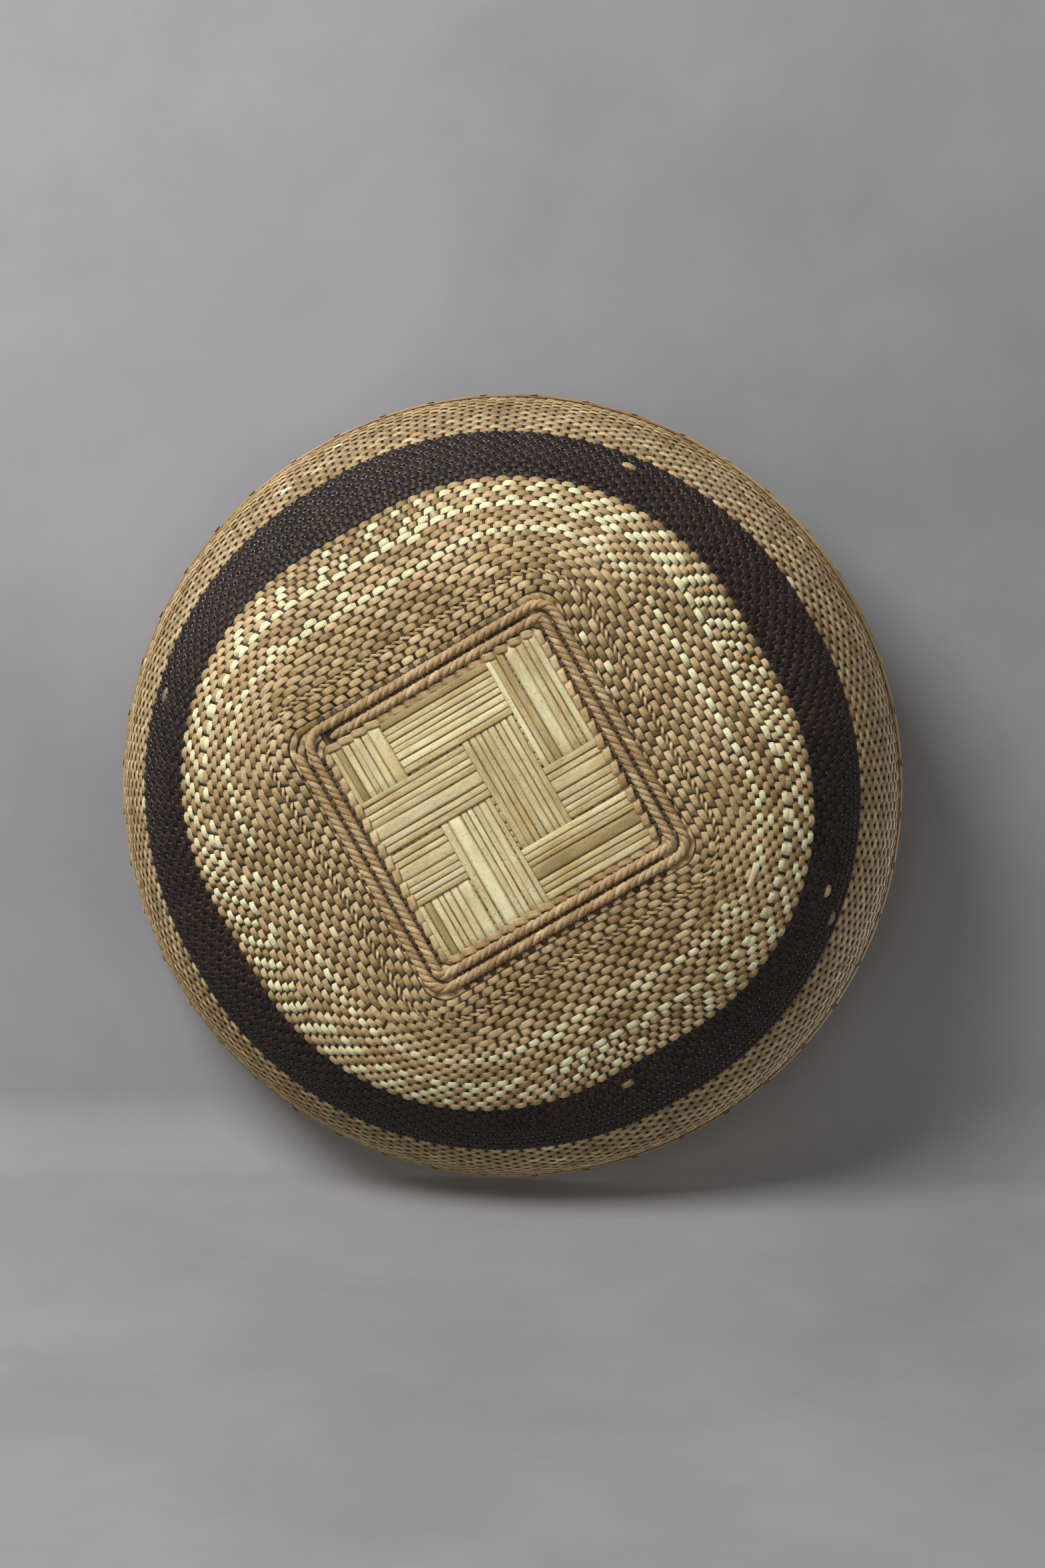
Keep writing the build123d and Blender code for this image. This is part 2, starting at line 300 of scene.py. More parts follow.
def split_wood(name, light, deep, along=260.0, across=5.0, pale=None, blush=None, edge_shade=0.45,
               rough=(0.5, 0.72), grain_depth=0.10):
    """Split and scraped wood: fibres along the strip, tone by strip, and edges darkened brown as painted
    shade in the grooves between strips.

    along and across are how many grain spots lie along a ring or strip and round its section."""
    material = bpy.data.materials.get(name)
    if material:
        return material
    material = bpy.data.materials.new(name)
    material.use_nodes = True
    tree = material.node_tree
    shader = tree.nodes["Principled BSDF"]
    place = add_node(tree, "ShaderNodeTexCoord")
    tone = add_node(tree, "ShaderNodeAttribute", attribute_name="tone").outputs["Fac"]
    edge = add_node(tree, "ShaderNodeAttribute", attribute_name="edge").outputs["Fac"]
    stretch = add_node(tree, "ShaderNodeMapping", [("Vector", place.outputs["UV"]),
                                                   ("Scale", (along, across, 1.0))])
    shift = add_node(tree, "ShaderNodeCombineXYZ", [("Z", number(tree, "MULTIPLY", tone, 37.0))])
    lined = add_node(tree, "ShaderNodeVectorMath", [(0, stretch.outputs[0]), (1, shift.outputs[0])],
                     operation="ADD").outputs[0]
    fibre = noise(tree, lined, 1.0, 5.0, ("Roughness", 0.65))
    streak = noise(tree, lined, 0.35, 2.0, ("Distortion", 0.4))
    patch = noise(tree, place.outputs["Object"], 26.0, 2.0)
    speck = noise(tree, place.outputs["Object"], 900.0, 3.0)
    level = number(tree, "MULTIPLY_ADD", fibre, 0.75, -0.375)
    level = number(tree, "MULTIPLY_ADD", streak, 0.7, number(tree, "ADD", level, -0.35))
    level = number(tree, "MULTIPLY_ADD", patch, 0.5, number(tree, "ADD", level, -0.25))
    level = number(tree, "MULTIPLY_ADD", tone, 0.8, number(tree, "ADD", level, 0.1))
    middle = tuple(mix(a, b, 0.5) for a, b in zip(deep, light))
    body = ramp(tree, level, [(0.0, dimmed(deep, 0.72)), (0.25, deep), (0.55, middle),
                              (0.85, light), (1.0, dimmed(light, 1.08))])
    if blush:
        redness = noise(tree, lined, 0.22, 1.0)
        body = blend_colour(tree, ramp(tree, redness, [(0.42, (0, 0, 0)), (0.68, (0.75, 0.75, 0.75))]),
                            body, blush, "MULTIPLY")
    if pale:
        undyed = add_node(tree, "ShaderNodeAttribute", attribute_name="pale").outputs["Fac"]
        body = blend_colour(tree, undyed, body, ramp(tree, level, [(0.0, pale[1]), (0.7, pale[0])]))
    # Painted shade: the strip edges, where strips and rows meet in grooves, are darkened brown by the edge
    # mask.
    painted_edge_shade = number(tree, "MULTIPLY", number(tree, "MULTIPLY", edge, edge), edge_shade)
    body = blend_colour(tree, painted_edge_shade, body, (0.46, 0.35, 0.21), "MULTIPLY")
    dirt = ramp(tree, speck, [(0.30, (0.62, 0.55, 0.45)), (0.42, (1, 1, 1))])
    body = blend_colour(tree, 0.8, body, dirt, "MULTIPLY")
    tree.links.new(body, shader.inputs["Base Color"])
    gloss = ramp(tree, fibre, [(0.3, (rough[0],) * 3), (0.7, (rough[1],) * 3)])
    tree.links.new(gloss, shader.inputs["Roughness"])
    relief = number(tree, "MULTIPLY_ADD", streak, 0.6, fibre)
    bump = add_node(tree, "ShaderNodeBump", [("Height", relief), ("Strength", 0.85),
                                             ("Distance", grain_depth / 1000)])
    tree.links.new(bump.outputs[0], shader.inputs["Normal"])
    shader.inputs["Specular IOR Level"].default_value = 0.35
    return material


def tan_wood(paint):
    return split_wood("tan_split_wood", paint.tan_light, paint.tan_deep, along=420, across=4,
                      pale=(paint.cream_light, paint.cream_deep), blush=(1.0, 0.91, 0.84))


def dark_wood(paint):
    return split_wood("dyed_dark_wood", paint.dark_light, paint.dark_deep, along=420, across=4,
                      pale=(paint.tan_light, paint.tan_deep), blush=(1.0, 0.72, 0.62),
                      edge_shade=0.2, rough=(0.42, 0.66))


# ---------------------------------------------------------------- strips

def new_shape():
    """An empty bmesh with the layers that every strip writes."""
    shape = bmesh.new()
    shape.loops.layers.uv.new("UVMap")
    layers = [shape.verts.layers.float.new(name) for name in ("tone", "pale", "edge")]
    return shape, layers


def plain_column(middle, across, through, half_width, half_thickness, tone, pale=0.0):
    """A column, as roll_strip takes it, with the same tone and paleness on both faces."""
    return middle, across, through, half_width, half_thickness, (tone, tone), (pale, pale)


def roll_strip(shape, layers, columns, section, closed):
    """Rolls a grid into a strip along the columns.

    A column is (middle, across, through, half width, half thickness, (outer tone, inner tone),
    (outer paleness, inner paleness))."""
    if closed:
        columns = columns + columns[:1]
    rolled = section + section[:1]
    tone_layer, pale_layer, edge_layer = layers
    grid = iter(bmesh.ops.create_grid(shape, x_segments=len(columns) - 1, y_segments=len(section),
                                      size=0.5, calc_uvs=True)["verts"])
    for across_share, through_share, face, edge in rolled:
        for middle, across, through, half_width, half_thickness, tones, pales in columns:
            point = next(grid)
            point.co = (middle + across * (across_share * half_width)
                        + through * (through_share * half_thickness))
            point[tone_layer] = tones[0] if face else tones[1]
            point[pale_layer] = pales[0] if face else pales[1]
            point[edge_layer] = edge


def add_object(name, data):
    """An object that holds the data, linked to the scene."""
    new = bpy.data.objects.new(name, data)
    bpy.context.scene.collection.objects.link(new)
    return new


def mesh_object(shape, name, material):
    """An object of one material from a bmesh, with every face smooth."""
    for face in shape.faces:
        face.smooth = True
    mesh = bpy.data.meshes.new(name)
    shape.to_mesh(mesh)
    shape.free()
    mesh.materials.append(material)
    return add_object(name, mesh)


def finish_piece(shape, name, material, slot, nodes=()):
    """Closes the strips, turns their faces outwards and hands the piece to the frame."""
    bmesh.ops.remove_doubles(shape, verts=shape.verts, dist=0.0002)
    ends = [edge for edge in shape.edges if edge.is_boundary]
    if ends:
        bmesh.ops.holes_fill(shape, edges=ends, sides=len(ROUND_SECTION) + 1)
    bmesh.ops.recalc_face_normals(shape, faces=shape.faces)
    bmesh.ops.scale(shape, vec=(0.001, 0.001, 0.001), verts=shape.verts)  # to metres
    piece = mesh_object(shape, name, material)
    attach(piece, "root")
    if nodes:
        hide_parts(*nodes)


# ---------------------------------------------------------------- the wall's surface

def trace_wall():
    """Half width and height of the stakes' middle at every step up the wall."""
    half, height, points = FOOT_HALF, FOOT_HEIGHT, [(FOOT_HALF, FOOT_HEIGHT)]
    for i in range(int(STAKE_LENGTH / WALL_STEP) + 4):
        gone = (i + 0.5) * WALL_STEP / UPRIGHT_LENGTH
        angle = radians(FOOT_SLOPE + (90 - FOOT_SLOPE) * gone ** SLOPE_POWER)
        half += cos(angle) * WALL_STEP
        height += sin(angle) * WALL_STEP
        points.append((half, height))
    return points


WALL = trace_wall()


def level_at(s):
    """(half width, height, flat part of the half width, corner radius) at distance s up the wall."""
    if s < 0:  # behind the foot cord
        half = FOOT_HALF + s * cos(radians(FOOT_SLOPE))
        height = FOOT_HEIGHT + min(TUCKED_RISE, -TUCKED_SLOPE * s)
        return half, height, half * (1 - FOOT_CORNER), half * FOOT_CORNER
    i = min(int(s / WALL_STEP), len(WALL) - 2)
    t = s / WALL_STEP - i
    half = mix(WALL[i][0], WALL[i + 1][0], t)
    run = max(0.0, 1 - s / UPRIGHT_LENGTH)
    radius = half * min(ROUND_LIMIT, 1 - (1 - FOOT_CORNER) * run ** CORNER_POWER)
    return half, mix(WALL[i][1], WALL[i + 1][1], t), half - radius, radius


def rounded_reach(half, flat, radius, turn):
    """Distance from the middle to a rounded square's outline at plan angle turn."""
    fold = abs((turn + pi / 4) % (pi / 2) - pi / 4)
    if half * sin(fold) <= flat * cos(fold):
        return half / cos(fold)
    inside = max(0.0, radius ** 2 - flat ** 2 * (1 - sin(2 * fold)))
    return flat * (cos(fold) + sin(fold)) + sqrt(inside)


def point_at(level, turn):
    half, height, flat, radius = level
    reach = rounded_reach(half, flat, radius, turn)
    return Vector((reach * cos(turn), reach * sin(turn), height))


def wall_frame(levels, turn):
    """(point, along the weft, up the wall, outwards) at plan angle turn."""
    here, above, below = levels
    point = point_at(here, turn)
    along = (point_at(here, turn + TANGENT_TURN) - point_at(here, turn - TANGENT_TURN)).normalized()
    out = along.cross(point_at(above, turn) - point_at(below, turn)).normalized()
    return point, along, out.cross(along), out


def levels_about(s):
    """The level at distance s, and those a step above and below it."""
    return level_at(s), level_at(s + TANGENT_STEP), level_at(s - TANGENT_STEP)


def stake_starts():
    """How far up the wall each stake of one side starts, in order, with its corner's stakes last."""
    slats = BUNDLES * SLATS_PER_BUNDLE
    starts = []
    for slat in range(slats):
        starts.append(0.0)
        if slat + 1 == slats:
            starts += [0.0] * CORNER_STAKES
        elif slat not in PLAIN_GAPS:
            near_corner = min(slat, slats - 2 - slat) < CORNER_GAPS
            starts.append(NEAR_CORNER_START if near_corner else MIDDLE_START)
    return starts


def spread_stakes():
    """(start, places) of every stake in order. A place counts quarters of the way round from the
    middle of the +X side, with the stakes that stand at the foot, above the first additions and
    above the last ones spaced evenly."""
    starts = 4 * stake_starts()
    places = []
    for level in (0.0, NEAR_CORNER_START, MIDDLE_START):
        standing = [k for k, start in enumerate(starts) if start <= level]
        quarter = len(standing) // 4
        middle = (quarter - CORNER_STAKES - 1) / 2
        at = {k: (i - middle) / quarter for i, k in enumerate(standing)}
        line, last = [], at[standing[-1]] - 4
        for k in range(len(starts)):
            if k not in at:
                following = next((at[n] for n in standing if n > k), at[standing[0]] + 4)
                at[k] = (last + following) / 2
            last = at[k]
            line.append(at[k])
        places.append(line)
    return list(zip(starts, zip(*places)))


STAKES = spread_stakes()


def smooth(low, high, s):
    """0 up to low and 1 from high, with a soft step between."""
    t = within_one((s - low) / (high - low))
    return t * t * (3 - 2 * t)


def stake_turn(places, s):
    """Plan angle of a stake at distance s up the wall."""
    quarter = mix(places[0], places[1], smooth(*FIRST_SPREAD, s))
    quarter = mix(quarter, places[2], smooth(*LAST_SPREAD, s))
    side = round(quarter)
    half, _, flat, radius = level_at(s)
    run = 2 * (quarter - side) * (flat + radius * pi / 4)
    far = abs(run)
    if far < flat:
        turn = atan2(far, half)
    else:
        round_part = (far - flat) / radius
        turn = atan2(flat + radius * sin(round_part), flat + radius * cos(round_part))
    return side * pi / 2 + (turn if run > 0 else -turn)


def stake_turns(s):
    """Plan angles of the stakes that stand at distance s, in order round the basket."""
    return [stake_turn(places, s) for start, places in STAKES if start <= max(0.0, s)]


# ---------------------------------------------------------------- weft

def drift(chance, waves=4):
    """A smooth closed wave of about -1 to 1 round the basket, different for each row."""
    parts = [(chance.choice((1, 2, 3, 5, 8, 13)), chance.uniform(0, 2 * pi), chance.uniform(0.3, 1))
             for _ in range(waves)]
    total = sum(part[2] for part in parts)
    return lambda turn: sum(size * sin(count * turn + phase) for count, phase, size in parts) / total


def cream_share(row, turn):
    """How likely a float of this row is left undyed at this plan angle."""
    if row == LOWER_CREAM_ROW:
        return 0.97
    if row == UPPER_CREAM_ROW:
        return 0.62 if cos(turn) > 0.75 else 0.95  # sparser on the +X side
    return ODD_CREAM.get(row, RARE_CREAM)


def float_paleness(row, stake, turn, chance, ladders):
    """1 for an undyed float, 0 for a dyed one. In the stepped rows, each undyed float is one stake
    further round than the one below it."""
    first, last = STEPPED_ROWS
    if first <= row <= last:
        if (stake - row) % 4:
            return 0.0
        holding, *draws = ladders[((stake - row) // 4) % LADDERS]
        return 1.0 if holding > draws[row - first] else 0.0
    return 1.0 if chance.random() < cream_share(row, turn) else 0.0


def places_round(turns):
    """(place, plan angle) of a row's columns, all the way round. A place counts stakes."""
    ring = turns + [turns[0] + 2 * pi]
    for j in range(COLUMNS_PER_GAP * len(turns)):
        place = (j + 0.5) / COLUMNS_PER_GAP
        k = int(place)
        yield place, mix(ring[k], ring[k + 1], place - k)


def weft_row(shape, layers, row, s, width, sizes, dark, ladders):
    """One strip woven before and behind the stakes, all the way round.

    A float is (tone, paleness, share of the full width, height off the row, depth off the row)."""
    turns = stake_turns(s)
    count = len(turns)
    chance = random.Random(4000 + row)
    slow_tone, slow_height, slow_depth = drift(chance), drift(chance), drift(chance)
    row_tone = chance.uniform(-0.13, 0.13)
    floats = []
    for k, turn in enumerate(turns):
        tone = 0.5 + row_tone + 0.22 * slow_tone(turn) + chance.gauss(0, 0.15)
        pale = float_paleness(row, k, turn, chance, ladders)
        if dark:
            pale = chance.choice((0.5, 0.8)) if chance.random() < 0.006 else 0.0
        floats.append((within_one(tone), pale, chance.uniform(0.93, 1.06),
                       chance.gauss(0, 0.06), chance.gauss(0, 0.05)))
    levels = levels_about(s)
    fill, bulge = sizes.weft_fill * width, sizes.weft_bulge
    half_thickness = 500 * sizes.weft_thickness * mix(0.85, 1, min(1.0, width / FULL_ROW))
    depth = 1000 * sizes.weave_depth
    columns = []
    for place, turn in places_round(turns):
        point, _, up, out = wall_frame(levels, turn)
        swing = cos(pi * (place + row))
        front = tanh(FLOAT_CHANGE * (swing + FLOAT_SHARE)) / FLOAT_PEAK
        outer = floats[int(2 * floor((place + row) / 2 + 0.5) - row) % count]
        inner = floats[int(2 * floor((place + row - 1) / 2 + 0.5) + 1 - row) % count]
        share = 0.5 + 0.5 * swing
        jitter = mix(inner[2], outer[2], share)
        lift = mix(inner[3], outer[3], share) + 0.12 * slow_height(turn)
        push = depth * front + swing * mix(inner[4], outer[4], share)
        half_width = 0.5 * fill * jitter * (1 - bulge * max(0.0, -0.2 - swing))
        middle = point + up * lift + out * (push + 0.08 * slow_depth(turn))
        columns.append((middle, up, out, half_width, half_thickness,
                        (outer[0], inner[0]), (outer[1], inner[1])))
    roll_strip(shape, layers, columns, WEFT_SECTION, True)


def twined_row(shape, layers, row, s, width, sizes):
    """Two thin strands twisted about each other between the stakes."""
    turns = stake_turns(s)
    levels = levels_about(s)
    for strand in (0, 1):
        chance = random.Random(5100 + 10 * row + strand)
        tones = [within_one(0.5 + chance.gauss(0, 0.16)) for _ in turns]
        columns = []
        for place, turn in places_round(turns):
            point, _, up, out = wall_frame(levels, turn)
            phase = pi * (place + strand)
            middle = point + out * (0.95 * cos(phase)) + up * (-0.28 * width * sin(phase))
            columns.append(plain_column(middle, up, out, 0.27 * width, 450 * sizes.weft_thickness,
                                        tones[int(place)]))
        roll_strip(shape, layers, columns, WEFT_SECTION, True)


def weave_wall(sizes, paint):
    """Every weft row, from those behind the foot cord to those under the rim."""
    chance = random.Random(77)
    ladders = []
    for ladder in range(LADDERS):
        holding = 0.78 + 0.18 * sin(ladder * 2 * pi / LADDERS * 2 + 1.0)
        ladders.append([holding] + [chance.random() for _ in range(4)])
    row, s = -TUCKED_ROWS, -FULL_ROW * TUCKED_ROWS
    for name, rows, width, slot, nodes in WEFT_GROUPS:
        shape, layers = new_shape()
        for _ in range(rows):
            if name == "twined_weft":
                twined_row(shape, layers, row, s + width / 2, width, sizes)
            else:
                dark = slot == "dark_weft"
                weft_row(shape, layers, row, s + width / 2, width, sizes, dark, ladders)
            row += 1
            s += width
        material = dark_wood(paint) if slot == "dark_weft" else tan_wood(paint)
        finish_piece(shape, name, material, slot, nodes)


# ---------------------------------------------------------------- stakes

def raise_stakes(sizes, paint):
    """Every stake, from the foot or from where it is pushed in, up to the rim."""
    shape, layers = new_shape()
    chance = random.Random(90)
    steps = 34
    for start, places in STAKES:
        tone = within_one(chance.gauss(0.5, 0.2))
        half_width = 500 * sizes.stake_width * chance.uniform(0.88, 1.1)
        columns = []
        for i in range(steps + 1):
            s = mix(start, STAKE_LENGTH - 0.1, i / steps)
            point, along, _, out = wall_frame(levels_about(s), stake_turn(places, s))
            pointed = 0.55 if start and i == 0 else 1.0  # the foot of an added stake
            columns.append(plain_column(point, along, out, half_width * pointed,
                                        500 * sizes.stake_thickness, tone))
        roll_strip(shape, layers, columns, THIN_SECTION, False)
    # The stakes' colours are darker than their own olive brown, to paint the shade in the gaps of the
    # weave.
    material = split_wood("stake_wood", paint.stake_light, paint.stake_deep, along=60, across=4,
                          blush=(1.0, 0.9, 0.72), edge_shade=0.3)
    nodes = [f"{kind}_{side}" for kind in ("stakes", "added_stakes")
             for side in ("right", "back", "left", "front")]
    finish_piece(shape, "wall_stakes", material, "stake", nodes)


# ---------------------------------------------------------------- base mat

def slat_height(low_cells, place, crown):
    """Underside of a slat at a place along the mat. Its cells are counted from the + end."""
    heights = [FOOT_LEVEL, *(LOW_LEVEL if low else HIGH_LEVEL for low in low_cells), FOOT_LEVEL]
    cell = (MAT_HALF - place) / CELL
    edge = round(cell)
    gap = (cell - edge) * CELL
    if 0 <= edge <= BUNDLES and abs(gap) < LEVEL_CHANGE:
        share = 0.5 + 0.5 * sin(gap / LEVEL_CHANGE * pi / 2)
        height = mix(heights[edge], heights[edge + 1], share)
    else:
        height = heights[min(BUNDLES + 1, max(0, int(floor(cell)) + 1))]
    if 0 < cell < BUNDLES:
        bow = crown * sin(pi * (cell - floor(cell))) ** 0.7
        height += -bow if low_cells[int(cell)] else bow
    return height


def split_bundle(chance):
    """(middle, width) of the slats of one bundle: uneven splits that fill the cell."""
    margin, slit = 0.4, 0.14
    widths = [chance.uniform(2.4, 3.7) for _ in range(SLATS_PER_BUNDLE)]
    if chance.random() < 0.55:  # two slats left as one wide one
        wide = chance.randrange(SLATS_PER_BUNDLE - 1)
        widths[wide:wide + 2] = [widths[wide] + widths[wide + 1] * 0.85]
    scale = (CELL - 2 * margin) / sum(widths)
    places, at = [], margin - CELL / 2
    for width in widths:
        places.append((at + width * scale / 2, width * scale - slit))
        at += width * scale
    return places


def lay_slats(sizes, paint):
    """Four bundles each way, crossing in a 2/2 twill."""
    crown = 1000 * sizes.slat_crown
    # The slats' second colour, the stakes' dark browns, paints shade on the slat ends under the foot cord.
    material = split_wood("pale_slat_wood", paint.slat_light, paint.slat_deep, along=26, across=13,
                          edge_shade=0.8, blush=(0.93, 0.80, 0.60), grain_depth=0.12,
                          pale=(paint.stake_light, paint.stake_deep))
    chance = random.Random(12)
    steps = 64
    for axis in ("x", "y"):
        for bundle in range(BUNDLES):
            shape, layers = new_shape()
            centre = ((BUNDLES - 1) / 2 - bundle) * CELL
            if axis == "x":
                low = X_SLATS_LOW[bundle]
            else:
                low = [not X_SLATS_LOW[row][bundle] for row in range(BUNDLES)]
            for offset, width in split_bundle(chance):
                tone = within_one(chance.gauss(0.62, 0.2))
                if chance.random() < 0.07:  # a browner slat
                    tone = 0.0
                thickness = 500 * sizes.slat_thickness * chance.uniform(0.88, 1.05)
                rise, skew = chance.gauss(0, 0.05), chance.gauss(0, 0.15)
                phase, lean = chance.uniform(0, 6), chance.gauss(0, 0.05)
                columns = []
                for i in range(steps + 1):
                    along = mix(SLAT_END, -SLAT_END, i / steps)
                    height = slat_height(low, along, crown) + SLAT_MIDDLE + rise
                    side = centre + offset + skew * along / SLAT_END + 0.10 * sin(along / 17 + phase)
                    narrow = 1 + 0.03 * sin(along / 11 + 2 * phase)
                    if axis == "x":
                        middle, across = Vector((along, side, height)), Vector((0, 1, lean))
                    else:
                        middle, across = Vector((side, along, height)), Vector((1, 0, lean))
                    painted_shade_under_cord = 1.0 if abs(along) > MAT_HALF + 2 else 0.0  # painted shade under the foot cord, in the stakes' dark colours
                    columns.append(plain_column(middle, across, Vector((0, 0, -1)), width * narrow / 2,
                                                thickness, tone, painted_shade_under_cord))
                roll_strip(shape, layers, columns, SPLIT_SECTION, False)
            finish_piece(shape, f"slats_{axis}{bundle + 1}", material, "split_slat",
                         [f"mat_slats_{axis}{bundle + 1}"])


def bind_mat(sizes, paint):
    """Two flat strips twined round the mat's edge, each stitch over two slats."""
    shape, layers = new_shape()
    far = BUNDLES - 1
    stitches = 4 * STITCHES_PER_SIDE
    for strand in (0, 1):
        chance = random.Random(61 + strand)
        tones = [within_one(chance.gauss(0.55, 0.16)) for _ in range(stitches)]
        columns = []
        for side in range(4):
            outward = Vector((cos(side * pi / 2), sin(side * pi / 2), 0))
            for j in range(COLUMNS_PER_STITCH * STITCHES_PER_SIDE):
                q = (j + 0.5) / COLUMNS_PER_STITCH
                lateral = mix(-MAT_HALF, MAT_HALF, q / STITCHES_PER_SIDE)
                cell = min(far, int((lateral + MAT_HALF) / CELL))
                # The edge cell that the stitch holds, by row and column, on +X, +Y, -X and -Y
                row, column = ((far - cell, 0), (0, cell), (cell, far), (far, far - cell))[side]
                low = X_SLATS_LOW[row][column] == (side % 2 == 0)
                turn = side * pi / 2 + atan2(lateral, BINDING_HALF)
                reach = rounded_reach(BINDING_HALF, BINDING_HALF - BINDING_CORNER, BINDING_CORNER, turn)
                phase = pi * (q + strand)
                under = LOW_LEVEL - 0.30 if low else HIGH_LEVEL - 0.34
                over = FOOT_LEVEL + 1.05
                flat = tanh(2.2 * sin(phase)) / 0.976
                height = mix(over, under, 0.5 + 0.5 * flat)
                reach += 0.55 * cos(phase)  # the stitches slant
                point = Vector((reach * cos(turn), reach * sin(turn), height))
                tone = tones[(side * STITCHES_PER_SIDE + int(q)) % stitches]
                columns.append(plain_column(point, outward, Vector((0, 0, -1)),
                                            500 * sizes.binding_width, 0.28, tone))
        roll_strip(shape, layers, columns, SPLIT_SECTION, True)
    material = split_wood("binding_wood", paint.tan_light, paint.tan_deep, along=200, across=8,
                          edge_shade=0.6, blush=(1.0, 0.86, 0.7))
    finish_piece(shape, "mat_binding", material, "binding_strip", ["mat_edge_binding"])


# ---------------------------------------------------------------- foot cord

def cord_route(step):
    """Points and headings along two turns of a squarish spiral, at even steps."""
    sides = 4 * CORD_TURNS
    reach = [CORD_FIRST_SIDE + CORD_PITCH * k / 4 for k in range(-1, sides + 1)]
    signs = ((1, 1), (-1, 1), (-1, -1), (1, -1))
    corners = []
    for k in range(sides + 1):
        x, y = (reach[k], reach[k + 1]) if k % 2 == 0 else (reach[k + 1], reach[k])
        x_sign, y_sign = signs[k % 4]
        corners.append(Vector((x_sign * x - CORD_SHIFT, y_sign * y + CORD_SHIFT, CORD_HEIGHT)))
    corners[0].x -= CORD_TRIMS[0]
    corners[-1].y -= CORD_TRIMS[1]
    dense = [corners[0]]
    for k, (before, corner, after) in enumerate(zip(corners, corners[1:], corners[2:])):
        bend = CORD_CORNERS[0] if k < 3 else CORD_CORNERS[1]
        come, go = (corner - before).normalized(), (after - corner).normalized()
        centre = corner + (go - come) * bend
        for i in range(13):
            angle = pi / 2 * i / 12
            dense.append(centre - go * (bend * cos(angle)) + come * (bend * sin(angle)))
    dense.append(corners[-1])
    route, spare = [], 0.0
    for a, b in zip(dense, dense[1:]):
        span = (b - a).length
        while spare <= span and span > 0:
            route.append((a.lerp(b, spare / span), (b - a).normalized()))
            spare += step
        spare -= span
    return route


def twist_cord(sizes, paint):
    """Three strands laid up left-handed, in two turns round the mat."""
    shape, layers = new_shape()
    step = 1.4
    route = cord_route(step)
    lay, circle, radius = 1000 * sizes.strand_lay, 1000 * sizes.strand_circle, 1000 * sizes.strand_radius
    up = Vector((0, 0, 1))
    for strand in range(3):
        chance = random.Random(300 + strand)
        tone, columns = 0.5, []
        for i, (point, heading) in enumerate(route):
            phase = -2 * pi * i * step / lay + 2 * pi * strand / 3
            side = up.cross(heading)
            spoke = side * cos(phase) + up * sin(phase)
            spin = -side * sin(phase) + up * cos(phase)
            tangent = (heading - spin * (2 * pi * circle / lay)).normalized()
            across = tangent.cross(spoke)
            if i % 4 == 0:
                tone = within_one(mix(tone, chance.gauss(0.5, 0.22), 0.5))
            taper = min(1.0, 0.35 + 0.3 * min(i, len(route) - 1 - i))
            middle = point + spoke * (circle * taper)
            size = radius * taper * (1 + 0.05 * sin(0.37 * i + strand))
            columns.append(plain_column(middle, across, spoke, size, size * 0.94, tone))
        roll_strip(shape, layers, columns, ROUND_SECTION, False)
    for point in shape.verts:
        point.co.z = max(CORD_FLOOR, point.co.z)
    material = split_wood("cord_fibre", paint.cord_light, paint.cord_deep, along=300, across=12,
                          blush=(1.0, 0.84, 0.66), edge_shade=0.0, rough=(0.6, 0.85), grain_depth=0.22)
    finish_piece(shape, "foot_cord", material, "cord_strand", ["foot_cord_outside", "foot_cord_inside"])


# ---------------------------------------------------------------- rim

def rim_turns(wander):
    """(plan angle, tone) of a hoop's columns, all the way round."""
    for j in range(RIM_COLUMNS):
        turn = 2 * pi * j / RIM_COLUMNS
        yield turn, within_one(0.5 + 0.3 * wander(turn))


def add_hoop(name, offset, node, chance, material):
    """A flat hoop at an offset outwards from the stakes."""
    shape, layers = new_shape()
    levels = levels_about(WEFT_LENGTH + HOOP_GAP + HOOP_HEIGHT / 2)
    wander = drift(chance)
    columns = []
    for turn, tone in rim_turns(wander):
        point, _, up, out = wall_frame(levels, turn)
        middle = point + out * (offset + 0.08 * wander(turn + 1))
        columns.append(plain_column(middle, up, out, HOOP_HEIGHT / 2, HOOP_THICKNESS / 2, tone))
    # The rounder face of the split strip is the one away from the stakes
    section = SPLIT_SECTION if offset > 0 else tuple((a, -t, f, e) for a, t, f, e in SPLIT_SECTION)
    roll_strip(shape, layers, columns, section, True)
    finish_piece(shape, name, material, "rim_split", [node])


def make_rim(paint):
    """Both hoops, the half-round cane on the stake ends, and the lashing."""
    material = split_wood("rim_split_wood", paint.rim_light, paint.rim_deep, along=160, across=16,
                          edge_shade=0.5, blush=(1.0, 0.86, 0.7), grain_depth=0.18, rough=(0.4, 0.62))
    offset = HOOP_CLEARANCE + HOOP_THICKNESS / 2
    add_hoop("outer_hoop", offset, "rim_outer_hoop", random.Random(210), material)
    add_hoop("inner_hoop", -offset, "rim_inner_hoop", random.Random(211), material)
    shape, layers = new_shape()
    low, high = (1000 * corner.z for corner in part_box("rim_cane"))
    half, _, _, _ = level_at(STAKE_LENGTH)
    columns = []
    for turn, tone in rim_turns(drift(random.Random(230))):
        radial = Vector((cos(turn), sin(turn), 0))
        columns.append(plain_column(radial * half + Vector((0, 0, low)), radial, Vector((0, 0, 1)),
                                    CANE_RADIUS, high - low, tone))
    half_round = tuple((cos(pi * k / 7), sin(pi * k / 7), 1, 0) for k in range(8)) + ((0, 0, 0, 0),)
    roll_strip(shape, layers, columns, half_round, True)
    finish_piece(shape, "rim_cane_strip", material, "rim_split", ["rim_cane"])
    lash_rim(paint)


